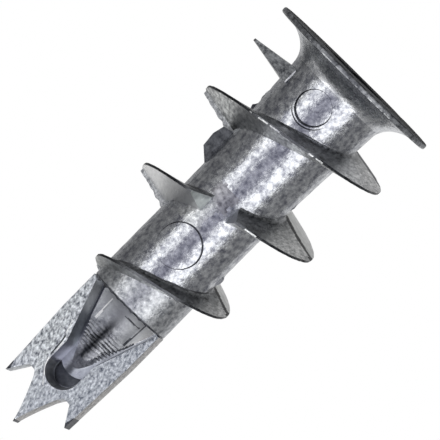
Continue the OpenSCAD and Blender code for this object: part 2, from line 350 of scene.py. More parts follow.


# Each finish: name, darkest and lightest tone, mottling in mm, roughness, grain in mm and its depth, tone
# and shade bands.
# A band: axis, middle, full up to, gone at, tone, strength; most bands are painted light or shade. The
# object is one casting, so all are zinc.
FINISHES = {
    # Cast against a polished die: semi-bright and mottled, so the soft boxes show as broken streaks
    "barrel": cast_zinc("zinc_cast_skin", "#787a84", "#d4d6d9", 0.4, (0.14, 0.32), 0.15, 0.016),
    # The die's cooler end: a rougher skin, in which the streaks blur
    "barrel_end": cast_zinc("zinc_cast_end_skin", "#7d8086", "#d0d2d5", 0.35, (0.24, 0.44), 0.14, 0.03),
    # Burnished patch: a smooth, paler place in the barrel's skin
    "smear": cast_zinc("zinc_burnished_patch", "#85878c", "#dddfe0", 0.35, (0.22, 0.38), 0.15, 0.02),
    # Hollow under the flange: an even grey band that mirrors the dark cards, on a paler base as painted
    # light
    "flare": cast_zinc("zinc_cast_flare", "#b4b7be", "#f6f7f9", 0.4, (0.2, 0.38), 0.15, 0.016),
    # Painted highlight: a line along the channel's +X edge, satin and near white from every side
    "glint": cast_zinc("zinc_painted_highlight_line", "#f2f2f2", "#ffffff", 0.3, (0.6, 0.75), 0.2, 0.01),
    # Skin under the thread's gap: flat grey with weak streaks, darker than the skin round it as painted
    # shade
    "gap_floor": cast_zinc("zinc_cast_gap_floor", "#6a6a70", "#b4b4b9", 0.3, (0.3, 0.42), 0.15, 0.016),
    # Head face: dull, with dark grey painted shade that turns near black towards +Y
    "head": cast_zinc("zinc_head_face_painted_shade", "#393b3f", "#606267", 0.8, (0.6, 0.75), 0.2, 0.02,
                      [("Y", 7, 6, 9.5, "#08090a")]),
    # Rim torn by the trimming die: dark and coarse
    "rim": cast_zinc("zinc_trimmed_rim", "#46484d", "#a0a2a6", 0.35, (0.4, 0.55), 0.2, 0.03),
    # Worn burr along the rim: pale broken dashes
    "dash": cast_zinc("zinc_worn_rim_burr", "#8f9194", "#c9cbcd", 0.3, (0.35, 0.5), 0.2, 0.02),
    # Dull edge: a soft dark line; at the barrel's end and along the trough's edges it is painted shade
    "edge": cast_zinc("zinc_dull_edge_and_painted_shade", "#37393e", "#777980", 0.4, (0.4, 0.5), 0.2, 0.03),
    # Satin flank on the blade's side: pale, with pits drawn out from the barrel to the crest; whiter round
    # Z 14.4 as painted light, darker round X 2 as painted shade
    "flank": cast_zinc("zinc_cast_satin_flank", "#6f7173", "#f4f6f4", 0.25, (0.32, 0.46), 0.12, 0.045,
                       [("Z", 14.4, 1.0, 2.2, "#ffffff", 0.8), ("X", 2.0, 1.1, 2.4, "#7d7f82", 0.6)],
                       (0, (1, 0.25, 1))),
    # Flank on the head's side: the same pits, darkened as painted shade, paler towards the -X tips as
    # painted light
    "under_flank": cast_zinc("zinc_under_flank_painted_shade", "#303236", "#a4a6a9", 0.25, (0.28, 0.4), 0.12, 0.045,
                             [("X", -7.2, 2.4, 3.8, "#cfd1d1", 0.6)], (0, (1, 0.25, 1))),
    # Outer part of that flank on the -X side: paler as painted light, and darker near the barrel as painted
    # shade
    "under_tip": cast_zinc("zinc_cast_flank_tip", "#8d8f91", "#ffffff", 0.22, (0.28, 0.4), 0.12, 0.05,
                           [("X", -3.4, 0.6, 1.8, "#85878a", 0.5)], (0, (1, 0.3, 1))),
    # Seam between the die's halves: a near-black line
    "seam": cast_zinc("zinc_parting_seam", "#1d1e21", "#47484c", 0.3, (0.4, 0.5), 0.15, 0.02),
    # Flank past the seam, from the die's other half: smooth and pale
    "back_flank": cast_zinc("zinc_cast_back_flank", "#d0d1d0", "#eeefee", 0.5, (0.32, 0.44), 0.12, 0.012),
    # Trimmed crest: a thin dark line that pales in front as painted light
    "crest": cast_zinc("zinc_trimmed_land", "#1d1e21", "#4a4c50", 0.35, (0.35, 0.5), 0.12, 0.02,
                       [("X", -0.3, 1.6, 3.2, "#7f8185", 0.6)]),
    # Flat face at the thread's start: dull grey with coarse dark pits
    "start": cast_zinc("zinc_cast_start_face", "#3f4144", "#949696", 0.22, (0.4, 0.55), 0.12, 0.03),
    # Ends of the thread at its gap: smooth and faintly green, the -X end darker as painted shade
    "sheared": cast_zinc("zinc_sheared_gap", "#b4b9b6", "#dde2df", 0.5, (0.3, 0.4), 0.3, 0.008,
                         [("X", -1.2, 0.6, 1.0, "#85898a")]),
    # Broken gate: a coarse fracture, dark as painted shade where it faces away from the light
    "broken": cast_zinc("zinc_broken_gate", "#3c3e42", "#77797d", 0.4, (0.45, 0.6), 0.2, 0.05),
    # Thin flash: grainy mid grey
    "flash": cast_zinc("zinc_thin_flash", "#77797b", "#c8caca", 0.25, (0.4, 0.55), 0.15, 0.03),
    # Grained blade: bluish, with glittering pits that lie askew along it; darker towards -X as painted
    # shade
    "blade": cast_zinc("zinc_cast_grained_blade", "#434852", "#f0f4f7", 0.185, (0.3, 0.48), 0.1, 0.045,
                       [("X", -3.2, 0, 5, "#7b828f", 0.32), ("Z", 31, 0.5, 2.5, "#a2a7b0", 0.25)],
                       (18, (1, 1, 0.56))),
    # Narrow sides of the blade: the same pits, warmer and softer
    "blade_side": cast_zinc("zinc_blade_side", "#575658", "#d2d0ce", 0.22, (0.35, 0.5), 0.11, 0.04),
    # Bright edge: a bright broken line of painted highlight
    "land": cast_zinc("zinc_painted_highlight_edge", "#a9abad", "#dcdddd", 0.25, (0.24, 0.4), 0.15, 0.02),
    # Drafted wall wiped smooth by the core: an even grey, paler at both ends as painted light
    "wall": cast_zinc("zinc_core_pulled_wall", "#747981", "#999fa7", 0.6, (0.3, 0.4), 0.3, 0.006,
                      [("Z", 22, 1.0, 3.0, "#eceef0"), ("Z", 29, 2.0, 2.9, "#c8c8d4")]),
    # Wall of the pocket: as smooth, and pale against the pocket's floor as painted light
    "pocket_wall": cast_zinc("zinc_pocket_wall", "#c4c7cb", "#e2e4e6", 0.6, (0.4, 0.5), 0.25, 0.01),
    # Ledge and lip: smooth and pale, with painted shade that darkens them at +X, towards the barrel, along
    # the middle under the screw's path and a little at -X
    "lip": cast_zinc("zinc_smooth_lip", "#a4a8b0", "#c4c8ce", 0.5, (0.26, 0.36), 0.3, 0.01,
                     [("X", 3, 1.5, 1.95, "#4a4d53"), ("Z", 22, 3.5, 4.5, "#45484e", 0.85),
                      ("X", -3, 1.6, 2.3, "#9a9da4", 0.7), ("X", 0.1, 0.08, 0.5, "#34363b", 0.85)]),
    # Trough's floor: pale sides and a dark streak along its middle, both painted light and shade, with
    # darker bands round X -1.3, X 1.5 and by the lip, paler ones by the barrel and far out at -X
    "trough": cast_zinc("zinc_cast_trough", "#8b8d95", "#dfe1e4", 0.35, (0.38, 0.5), 0.16, 0.014,
                        [("X", -1.3, 0.3, 1.2, "#7d7f84", 0.5), ("X", 1.5, 0.4, 1.2, "#74787e", 0.15),
                         ("X", 0.15, 0.0, 0.62, "#2b2d31"), ("Z", 21.4, 0.9, 3.0, "#d8dade", 0.8),
                         ("X", 1.5, 0.6, 1.4, "#5c6066", 0.4), ("X", -2.6, 0.5, 1.2, "#f4f5f6", 0.85),
                         ("Z", 27.8, 0.3, 1.1, "#85878d", 0.6)]),
    # Floor of the pocket: dark, since little light reaches it
    "pocket": cast_zinc("zinc_deep_pocket", "#4e5156", "#6a6d73", 0.4, (0.4, 0.5), 0.25, 0.01),
    # Groove or torn end: darker than the skin round it; in the grooves round the ejector marks the dark is
    # painted shade
    "groove": cast_zinc("zinc_groove", "#303237", "#5a5c62", 0.3, (0.45, 0.55), 0.2, 0.01),
    # Bore wiped smooth by its core: an even grey, with painted shade in a dark mouth at the head and in a
    # darker streak along its middle
    "bore": cast_zinc("zinc_core_pulled_bore", "#83868d", "#a8abb0", 0.6, (0.3, 0.42), 0.2, 0.01,
                      [("X", -0.05, 0.12, 0.42, "#4c4e54"), ("Z", 0, 0.5, 1.5, "#222326")]),
}


# ---- small helpers ----

def spaced(start, end, step=FINE):
    """Evenly spaced values from start to end, both included, about step apart."""
    count = max(1, round(abs(end - start) / step))
    return [start + (end - start) * i / count for i in range(count + 1)]


def lumps(x, y, z, size, seed=0):
    """Smooth noise from about -1 to 1 whose lumps are size millimetres across."""
    return noise.noise(Vector((x / size + seed, y / size - seed, z / size + 0.37 * seed)))


def uneven(x, y, z, kind, more_seed=0):
    """How far one kind of unevenness moves a point, in mm."""
    depth, size, seed = kind
    return depth * lumps(x, y, z, size, seed + more_seed)


def solid(name, verts, faces, finish):
    """Makes a closed mesh object from points in millimetres, in one finish, its normals outward."""
    mesh = bpy.data.meshes.new(name)
    mesh.from_pydata([(x * MM, y * MM, z * MM) for x, y, z in verts], [], faces)
    mesh.materials.append(FINISHES[finish])
    form = bmesh.new()
    form.from_mesh(mesh)
    bmesh.ops.recalc_face_normals(form, faces=form.faces)
    form.to_mesh(mesh)
    form.free()
    piece = bpy.data.objects.new(name, mesh)
    bpy.context.scene.collection.objects.link(piece)
    return piece


def lathe(name, outline, finish, steps=AROUND, centre_y=0.0, wobble=None):
    """Revolves an outline of (radius, z) points, which starts and ends on the axis."""
    verts = []
    rings = []
    for r, z in outline:
        if r == 0:
            rings.append([len(verts)] * steps)
            verts.append((0, centre_y, z))
            continue
        rings.append(list(range(len(verts), len(verts) + steps)))
        for i in range(steps):
            a = 2 * math.pi * i / steps
            rr, zz = wobble(r, z, a) if wobble else (r, z)
            verts.append((rr * math.cos(a), centre_y + rr * math.sin(a), zz))
    faces = []
    for low, high in zip(rings, rings[1:]):
        for i in range(steps):
            j = (i + 1) % steps
            corners = [low[i], low[j], high[j], high[i]]
            faces.append(tuple(dict.fromkeys(corners)))
    return solid(name, verts, faces, finish)


def prism(name, outline, front, back, finish, back_outline=None):
    """Extrudes an outline of (x, z) points along Y; it may change to a second outline at the back."""
    count = len(outline)
    verts = [(x, front, z) for x, z in outline] + [(x, back, z) for x, z in back_outline or outline]
    faces = [tuple(range(count)), tuple(range(2 * count - 1, count - 1, -1))]
    for i in range(count):
        j = (i + 1) % count
        faces.append((i, i + count, j + count, j))
    return solid(name, verts, faces, finish)


def disc(x, z, r):
    """Round outline of (x, z) points."""
    angles = [2 * math.pi * i / DISC_POINTS for i in range(DISC_POINTS)]
    return [(x + r * math.cos(a), z + r * math.sin(a)) for a in angles]


def paint(piece, finish, test):
    """Gives another finish to the faces whose centre and normal pass a test."""
    slot = piece.data.materials.find(FINISHES[finish].name)
    if slot < 0:
        slot = len(piece.data.materials)
        piece.data.materials.append(FINISHES[finish])
    for face in piece.data.polygons:
        centre = face.center / MM
        if test(centre.x, centre.y, centre.z, face.normal):
            face.material_index = slot


def applied(piece):
    """Turns a piece's modifiers into its own mesh."""
    graph = bpy.context.evaluated_depsgraph_get()
    result = bpy.data.meshes.new_from_object(piece.evaluated_get(graph))
    piece.modifiers.clear()
    piece.data = result
    return piece


def combine(piece, other, operation):
    """Adds, cuts or intersects another solid, which is used up."""
    step = piece.modifiers.new("step", "BOOLEAN")
    step.operation = operation
    step.solver = "MANIFOLD"
    step.material_mode = "TRANSFER"
    step.object = other
    applied(piece)
    bpy.data.objects.remove(other)
    return piece


# ---- barrel and head ----

def barrel_at(z):
    """Radius of the barrel: it thins towards TAPER_END, then stays straight."""
    if z >= TAPER_END:
        return BARREL_R
    share = (TAPER_END - z) / (TAPER_END - FLARE_TOP)
    return BARREL_R + (NECK_R - BARREL_R) * share ** TAPER_CURVE


def head_and_barrel_outline():
    """Half outline: head face, rounded rim, quarter-ellipse flare, taper, straight, rounded end."""
    outline = [(0, 0)]
    outline += [(r, 0) for r in spaced(1.5, FLANGE_R - RIM_ROUND)]
    for degrees in (30, 60, 90):
        a = math.radians(degrees)
        outline.append((FLANGE_R - RIM_ROUND * (1 - math.sin(a)), RIM_ROUND * (1 - math.cos(a))))
    for degrees in (0, 45, 90):
        a = math.radians(degrees)
        outline.append((FLANGE_R - RIM_ROUND * (1 - math.cos(a)),
                        RIM_T - RIM_ROUND * (1 - math.sin(a))))
    for r in spaced(FLANGE_R - RIM_ROUND, NECK_R + FLARE_W)[1:-1]:
        outline.append((r, RIM_T))
    for share in spaced(1, 0, 0.06):
        a = math.pi / 2 * share
        outline.append((NECK_R + FLARE_W * (1 - math.cos(a)), FLARE_TOP - FLARE_H * math.sin(a)))
    outline += [(barrel_at(z), z) for z in spaced(FLARE_TOP, BARREL_L - END_ROUND)[1:]]
    for degrees in (30, 60, 90):
        a = math.radians(degrees)
        outline.append((BARREL_R - END_ROUND * (1 - math.cos(a)),
                        BARREL_L - END_ROUND * (1 - math.sin(a))))
    outline += [(BARREL_R - 2 * END_ROUND, BARREL_L), (2.2, BARREL_L), (0, BARREL_L)]
    return outline


def cast_skin(r, z, a):
    """Uneven skin of the revolved part: shallow waves, a nicked rim and burrs at the barrel's end."""
    x = r * math.cos(a)
    y = r * math.sin(a)
    if z < 0.01:
        return r, max(0, uneven(x, y, z, HEAD_LUMPS))
    if r > FLANGE_R - 0.3:
        return r - sum(abs(uneven(x, y, 0, kind)) for kind in RIM_NICKS), z
    at_end = z > BARREL_L - 0.01 and r > BARREL_R - 1.5 * END_ROUND
    torn = max(0, uneven(x, y, 0, END_BURRS)) if at_end else 0
    return r + sum(uneven(x, y, z, kind) for kind in SKIN_WAVES), z + torn


# ---- thread ----

def thread_z(turns):
    """Height of the thread's middle after so many turns from its start."""
    grow = THREAD_LEAD - RUN_IN_LEAD
    if turns < RUN_IN_TURNS:
        return THREAD_START + RUN_IN_LEAD * turns + grow * turns ** 2 / (2 * RUN_IN_TURNS)
    return THREAD_START + THREAD_LEAD * turns - grow * RUN_IN_TURNS / 2


def crest_at(z):
    """Radius of the crest: it closes in slowly, then runs out into the barrel."""
    share = max(0, z - CREST_TAPER_START) / (THREAD_END_Z - CREST_TAPER_START)
    left = min(1, max(0, THREAD_END_Z - z) / RUN_OUT)
    crest = THREAD_R - (THREAD_R - LOW_CREST_R) * share ** CREST_CURVE
    return max(MIN_CREST_R, crest - (LOW_CREST_R - MIN_CREST_R) * (1 - left) ** 2)


def start_flat_angle(r):
    """Angle at which a radius meets the flat that ends the thread at its start."""
    return -math.asin(START_FLAT_Y / r)


ZERO_TURN = start_flat_angle(THREAD_R) / (2 * math.pi)
THREAD_TURNS = (RUN_IN_TURNS / 2 * (1 - RUN_IN_LEAD / THREAD_LEAD)
                + (THREAD_END_Z - THREAD_START) / THREAD_LEAD)


def half_thickness(r, crest, side, root):
    """Offset of the thread's skin from its middle at a radius: -1 is the head's side, 1 the blade's."""
    if abs(side) < 1:
        return side * CREST_W / 2
    half = CREST_W / 2 + (FLANK_HEAD if side < 0 else FLANK_BLADE) * (crest - r)
    if side > 0:
        return half
    inward = min(1, max(0, root + ROOT_FILLET - r) / ROOT_FILLET)
    return -half - ROOT_FILLET * (1 - math.sqrt(1 - inward ** 2))


def thread_point(progress, share_out, side):
    """A point of the thread's skin, with the trimmed crest's nicks and waves."""
    middle = thread_z(THREAD_TURNS * progress)
    root = barrel_at(middle) if middle > THREAD_START + 0.5 else 0
    crest = crest_at(middle)
    r = THREAD_ROOT_R + (crest - THREAD_ROOT_R) * share_out
    first = start_flat_angle(r)
    angle = first + (2 * math.pi * (THREAD_TURNS + ZERO_TURN) - first) * progress
    z = thread_z(angle / (2 * math.pi) - ZERO_TURN) + half_thickness(r, crest, side, root)
    x = r * math.cos(angle)
    y = r * math.sin(angle)
    edge = max(0, (share_out - CREST_SHARE) / (1 - CREST_SHARE))
    nick = abs(uneven(x, y, z, CREST_NICKS)) + max(0, uneven(x, y, z, CREST_BITES) - BITES_SPARED)
    shift = uneven(x, y, z, FLANK_WAVES, side) + edge * uneven(x, y, z, CREST_WAVES)
    scale = (r - edge * nick) / r
    return x * scale, y * scale, z + shift


def off_middle(x, y, z):
    """How far a point lies from the middle of the thread's nearest pass, towards the blade."""
    turn = math.atan2(y, x) / (2 * math.pi)
    return min((z - thread_z(turn + whole - ZERO_TURN) for whole in range(5)), key=abs)


def seam_half(x, y, z, normal):
    """Half width of the parting seam, which is seen very obliquely; it thickens into a blot at the tip."""
    return 0.3 + 0.12 * lumps(x, y, z, 0.6, 51) + 0.8 * max(0, 1 - (crest_at(z) - abs(x)) / 0.45) ** 2


def parting_line(turn, root_y, crest_y):
    """Measure of how far a face of one pass's head side lies behind the parting line."""
    def behind(x, y, z, normal):
        if normal.z > -HALF_ON or x > 0 or abs(z - thread_z(turn - ZERO_TURN)) > THREAD_LEAD / 3:
            return -THREAD_R
        return y - root_y - (crest_y - root_y) * (math.hypot(x, y) - BARREL_R) / (THREAD_R - BARREL_R)
    return behind


def on_crest(x, y, z, normal):
    """Whether a face looks away from the axis, as the land along the crest does."""
    return (x * normal.x + y * normal.y) / math.hypot(x, y) > CREST_ON


def highlight_dash(x, y, z, normal):
    """Whether a face of the crest in front belongs to one of its bright dashes of painted highlight."""
    return (y < 0 and on_crest(x, y, z, normal) and off_middle(x, y, z) > 0
            and any(low_x < x < high_x and low_z < z < high_z and lumps(x, 0, 0, 0.8, 43) > noise_above
                    for low_x, high_x, low_z, high_z, noise_above in BRIGHT_LAND))


def thread():
    """The auger thread as one swept solid: two flanks and a narrow land."""
    shares = [0] + spaced(0.1, 0.28, 0.022) + spaced(0.35, 1, 0.07)
    section = [(share, -1) for share in shares] + [(1, -0.1)]
    section += [(share, 1) for share in reversed(shares)]
    steps = round(THREAD_TURNS * STEPS_PER_TURN)
    size = len(section)
    verts = [thread_point(step / steps, share, side)
             for step in range(steps + 1) for share, side in section]
    faces = [tuple(range(size - 1, -1, -1)), tuple(range(steps * size, (steps + 1) * size))]
    for step in range(steps):
        for k in range(size):
            a = step * size + k
            b = step * size + (k + 1) % size
            faces.append((a, b, b + size, a + size))
    piece = solid("thread", verts, faces, "flank")
    paint(piece, "crest", on_crest)
    paint(piece, "start", lambda x, y, z, normal: normal.y < -START_ON and x > 0 and z < THREAD_START + 1)
    # Painted shade on the head-side flanks
    paint(piece, "under_flank", lambda x, y, z, normal: normal.z < -HALF_ON and (y < 0 or x < 0))
    # Painted light on the outer -X part of the head-side flanks
    paint(piece, "under_tip", lambda x, y, z, normal: normal.z < -HALF_ON
          and x < PALE_TIP_X + 0.5 * lumps(x, y / 3, z, 0.5, 47))
    # Painted highlight dashes on the crest
    paint(piece, "land", highlight_dash)
    for turn, root_y, crest_y, beyond in PARTING_LINES:
        behind = parting_line(turn, root_y, crest_y)
        paint(piece, beyond, lambda *face: behind(*face) > 0)
        paint(piece, "seam", lambda *face: abs(behind(*face)) < seam_half(*face))
    return piece


def thread_skin_z(r, angle, side):
    """Height of a flank at a radius and an angle, in turns from the thread's zero."""
    middle = thread_z(angle - ZERO_TURN)
    return middle + half_thickness(r, crest_at(middle), side, barrel_at(middle))


def flank_flash(turn, side, root_h, crest_h, finish, reach):
    """Ragged fin along a flank in the parting plane, at a whole or half turn, out to a reach."""
    way = 1 if turn % 1 == 0 else -1
    crest = crest_at(thread_z(turn - ZERO_TURN))
    radii = spaced(BARREL_R - FIN_ROOT, min(reach, crest - FIN_STEP / 2), FIN_STEP)
    under = [(way * r, thread_skin_z(r, turn, side) - side * 0.15) for r in radii]
    over = []
    for r in radii:
        height = root_h + (crest_h - root_h) * (r - BARREL_R) / (crest - BARREL_R)
        rough = 0.85 + uneven(r, turn, 0, FLANK_FIN_WAVES)
        over.append((way * r, thread_skin_z(r, turn, side) + side * max(0.01, height * rough)))
    return prism("flank_flash", under + over[::-1], -FLASH_T / 2, FLASH_T / 2, finish)


def wall_flash(way, low_z, high_z, height, finish):
    """Ragged fin up the side of the barrel in the parting plane."""
    levels = spaced(low_z, high_z, FIN_STEP)
    inner = [(way * (barrel_at(z) - FIN_ROOT), z) for z in levels]
    outer = []
    for z in levels:
        fade = min(1, (z - low_z) / FIN_FADE, (high_z - z) / FIN_FADE)
        rough = 0.5 + uneven(way, 0, z, WALL_FIN_WAVES) + max(0, uneven(way, 0, z, WALL_FIN_PEAKS))
        outer.append((way * (barrel_at(z) + max(0.005, fade * height * rough)), z))
    return prism("wall_flash", inner + outer[::-1], -FLASH_T / 2, FLASH_T / 2, finish)


def parting_flash():
    """Every fin left on the parting plane: on both flanks of each pass and up the barrel's sides."""
    return [flank_flash(*fin) for fin in FLANK_FINS] + [wall_flash(*fin) for fin in WALL_FINS]


def thread_gap():
    """Wedge that parts the thread where it passes the front for the second time."""
    reach = THREAD_R + 1
    inner = BARREL_R - 0.35
    spread = (reach - inner) * GAP_SPREAD
    middle = thread_z(GAP_TURN - ZERO_TURN)
    plan = [(-GAP_W / 2, -inner), (GAP_W / 2, -inner),
            (GAP_W / 2 + spread, -reach), (-GAP_W / 2 - spread, -reach)]
    verts = [(GAP_X + x, y, middle + side * 2) for side in (-1, 1) for x, y in plan]
    faces = [(3, 2, 1, 0), (4, 5, 6, 7)] + [(i, (i + 1) % 4, (i + 1) % 4 + 4, i + 4) for i in range(4)]
    return solid("gap", verts, faces, "sheared")


# ---- blade ----

def blade_side():
    """Half outline of the blade: side, corner tooth, notch, hollow-sided middle tooth."""
    outline = [(TONGUE_W, BARREL_L - 1), (TONGUE_W, BARREL_L), (BLADE_ROOT_W, BARREL_L)]
    outline += [(BLADE_ROOT_W, z) for z in spaced(BARREL_L, BARREL_L + BLADE_ROOT_L, 0.4)[1:]]
    straight = spaced(0, 1, 0.07)[1:]
    start_z = BARREL_L + BLADE_ROOT_L
    outline += [(BLADE_ROOT_W + (BLADE_END_W - BLADE_ROOT_W) * f, start_z + (CORNER_Z - start_z) * f)
                for f in straight]
    notch_top = NOTCH_Z + NOTCH_SAG
    outline += [(BLADE_END_W + (CORNER_TOOTH_X - BLADE_END_W) * f, CORNER_Z + (notch_top - CORNER_Z) * f)
                for f in (0.08, 0.4, 0.7, 1)]
    middle = (CORNER_TOOTH_X + MIDDLE_TOOTH_W) / 2
    half = (CORNER_TOOTH_X - MIDDLE_TOOTH_W) / 2 - 0.06
    for i in range(5):
        a = math.pi * i / 4
        outline.append((middle + half * math.cos(a), NOTCH_Z - 0.1 * math.sin(a)))
    for f in spaced(0, 1, 0.08)[1:-1]:
        outline.append((MIDDLE_TOOTH_W * (1 - f) ** TOOTH_CURVE, NOTCH_Z + (TIP_Z - NOTCH_Z) * f))
    return outline


def blade_outline():
    """The whole outline, from one side over the middle tooth's blunt point to the other."""
    side = blade_side()
    return side + [(0, TIP_Z)] + [(-x, z) for x, z in reversed(side)]


def blade():
    """The flat blade, with edges softened as the casting leaves them."""
    piece = prism("blade", blade_outline(), -BLADE_T / 2, BLADE_T / 2, "blade")
    soften = piece.modifiers.new("soften", "BEVEL")
    soften.width = EDGE_SOFTENING * MM
    soften.segments = 2
    soften.limit_method = "ANGLE"
    soften.angle_limit = math.radians(50)
    applied(piece)
    paint(piece, "blade_side", lambda x, y, z, normal: abs(normal.x) > SQUARE_ON)
    return piece


def back_boss():
    """Half cone with a round nose behind the blade."""
    outline = [(0, BARREL_L - 1), (BARREL_R - BOSS_STEP, BARREL_L - 1), (BARREL_R - BOSS_STEP, BARREL_L)]
    start_r = BARREL_R - BOSS_STEP
    for f in spaced(0, 1, 0.05)[1:]:
        outline.append((start_r + (BOSS_END_R - start_r) * f, BARREL_L + (LIP_Z - BARREL_L) * f))
    for f in spaced(0, 1, 0.08)[1:]:
        a = math.pi / 2 * f
        outline.append((BOSS_END_R * math.cos(a) if f < 1 else 0,
                        LIP_Z + (BOSS_END_Z - LIP_Z) * math.sin(a)))
    cone = lathe("boss", outline, "barrel", wobble=cast_skin)
    return combine(cone, prism("half", blade_outline(), 0, BARREL_R, "barrel"), "INTERSECT")


# ---- marks left by the die ----

def barrel_band(low_z, high_z, offset, finish):
    """A slice of the barrel, grown or shrunk by an offset."""
    levels = spaced(low_z, high_z, 0.3)
    outline = [(0, low_z)] + [(barrel_at(level) + offset, level) for level in levels] + [(0, high_z)]
    return lathe("band", outline, finish)


def ejector_mark(r, z, low, high, finish):
    """Round patch on the barrel's front that follows its skin between two offsets."""
    shell = barrel_band(z - r - 0.1, z + r + 0.1, high, finish)
    if low is not None:
        combine(shell, barrel_band(z - r - 0.2, z + r + 0.2, low, finish), "DIFFERENCE")
    return combine(shell, prism("disc", disc(0, z, r), -THREAD_R, 0, finish), "INTERSECT")


def ejector_groove(r, z, width, depth, lean, narrow):
    """Groove around an ejector mark, widest in one direction in degrees.

    narrow 0.5 fades out opposite, 1 covers half the ring, more covers less.
    """
    a = math.radians(lean)
    shift = narrow * width
    # The groove's dark finish is painted shade
    ring = ejector_mark(r, z, -depth, 0.5, "groove")
    inner = disc(-shift * math.cos(a), z - shift * math.sin(a), r - width + shift)
    return combine(ring, prism("disc", inner, -THREAD_R, 0, "groove"), "DIFFERENCE")


def start_ridge():
    """Burr where the thread's start face meets the barrel, bright with painted highlight."""
    y = -START_FLAT_Y
    z = THREAD_START
    x = math.sqrt(barrel_at(z) ** 2 - y ** 2)
    return prism("ridge", [(x + dx, z + dz) for dx, dz in START_RIDGE], y - 0.1, y + 0.3, "land")


def gate_stub():
    """Broken gate on the parting line."""
    inner = BARREL_R - 0.6
    outer = barrel_at(STUB_Z) + STUB_H
    outline = [(inner, STUB_Z - STUB_L / 2 - 0.2), (outer - 0.2, STUB_Z - STUB_L * 0.44),
               (outer, STUB_Z - STUB_L * 0.15), (outer - 0.1, STUB_Z + STUB_L * 0.22),
               (inner, STUB_Z + STUB_L / 2 + 0.5)]
    return prism("stub", outline, -STUB_W / 2, STUB_W / 2, "broken")


# ---- cuts ----

def teardrop(shrink):
    """Outline of the window, shrunk all round: round end, parallel stretch, two sides that part."""
    r = WINDOW_R - shrink
    outline = [(r * math.cos(math.pi * i / 32), WINDOW_Z + r * math.sin(math.pi * i / 32))
               for i in range(33)]
    outline += [(-r, WINDOW_Z - WINDOW_STRAIGHT), (shrink - WINDOW_WIDE, BARREL_L),
                (WINDOW_WIDE - shrink, BARREL_L), (r, WINDOW_Z - WINDOW_STRAIGHT)]
    return [(x + WINDOW_X, z) for x, z in outline]


def window():
    """Opening in the blade's front with drafted walls, down to a ledge."""
    cut = prism("window", teardrop(0), -BLADE_T / 2, LEDGE_Y, "wall", teardrop(FOOT_SHRINK))
    paint(cut, "lip", lambda x, y, z, normal: normal.y > SQUARE_ON)
    paint(cut, "pocket_wall", lambda x, y, z, normal: abs(normal.y) < HALF_ON and z > WINDOW_Z)
    return cut


def behind_ledge(depth_y, finish):
    """The window's outline, carried on from the ledge to a depth behind the axis."""
    return prism("behind", teardrop(FOOT_SHRINK + FOOT_CLEAR), LEDGE_Y - 0.01, depth_y, finish)


def window_bevels():
    """Thin nicks that the die leaves along one side of the window and past its end: most carry a painted
    highlight, one a dark seam line.
    """
    front = -BLADE_T / 2
    cuts = []
    for line, wide, finish in WINDOW_NICKS:
        inner = [(x - wide, z - wide / 2) for x, z in reversed(line)]
        deep = line + [(x - 0.02, z - 0.01) for x, z in reversed(line)]
        cuts.append(prism("bevel", line + inner, front - 0.001, front + wide / 4, finish, deep))
    return cuts


def tooth_end(outline):
    """Dull blunt end of a tooth, inside an outline: the blade's own form there, a hair larger."""
    half = BLADE_T / 2 + TOOTH_END_PROUD
    tip = prism("tip", [(x * TOOTH_END_GROW, z) for x, z in blade_outline()], -half, half, "groove")
    return combine(tip, prism("part", outline, -BLADE_T, BLADE_T, "groove"), "INTERSECT")


def trough_r(z):
    """Radius across the trough's hollow: it deepens towards the barrel."""
    back = TROUGH_END_Z - z
    return TROUGH_ROUND + TROUGH_RISE * back + TROUGH_SWEEP * back ** 2


def ribbed(r, z, a):
    """Fine ribs across the trough, uneven and deepest in the middle of their run."""
    if r == 0 or not RIB_START < z < RIB_END:
        return r, z
    run = math.sin(math.pi * (z - RIB_START) / (RIB_END - RIB_START))
    phase = z / RIB_PITCH + uneven(6 * a, z, 0, RIB_STRAY)
    strength = RIB_STRENGTH + uneven(9 * a, z, 0, RIB_FADE)
    return r - RIB_H * run * max(0, strength) * (1 + math.sin(2 * math.pi * phase)), z


def dished(end_z, grow, floor_y, round_r, wobble):
    """Hollow of a given radius across, whose floor follows the trough's, cut off in front of the ledge."""
    outline = [(0, BARREL_L)] + [(trough_r(z) + grow, z) for z in spaced(BARREL_L, end_z, RIB_PITCH / 4)]
    outline.append((0, end_z))
    hollow = lathe("hollow", outline, "trough", 360, floor_y - round_r, wobble)
    for vert in hollow.data.vertices:
        vert.co.x += WINDOW_X * MM
    return combine(hollow, behind_ledge(BARREL_R, "trough"), "INTERSECT")


def channel_edge(z):
    """Half width of the channel where it meets the trough."""
    wide = trough_r(z)
    narrow = wide + CHANNEL_ROUND - TROUGH_ROUND
    return math.sqrt(2 * CHANNEL_DEPTH / (1 / narrow - 1 / wide))


def trough():
    """Dished ramp that carries the screw's point from the bore to the lip, with fine ribs across it."""
    form = dished(TROUGH_END_Z, 0, LEDGE_Y, TROUGH_ROUND, ribbed)
    # Painted highlight along the channel's +X edge, painted shade along its -X edge
    paint(form, "glint", lambda x, y, z, normal: 0 < x - WINDOW_X - channel_edge(z) < GLINT_W
          and z < RIB_START and lumps(0, 0, z, 0.4, 61) > -0.3)
    paint(form, "edge", lambda x, y, z, normal: -CHANNEL_LINE_W < x - WINDOW_X + channel_edge(z) < 0
          and z < RIB_START)
    # Painted shade where the trough meets the ledge on its -X half
    paint(form, "edge", lambda x, y, z, normal: x < 0.3 and y < LEDGE_Y + 0.05 and z > RIB_START - 0.6)
    return form


def channel():
    """Shallow channel from the bore into the trough."""
    form = dished(CHANNEL_END_Z, CHANNEL_ROUND - TROUGH_ROUND, LEDGE_Y + CHANNEL_DEPTH, CHANNEL_ROUND, None)
    paint(form, "edge", lambda x, y, z, normal: x < 0
          and abs(z - CHANNEL_LINE_Z - 0.06 * x) < CHANNEL_LINE_W / 2)
    return form


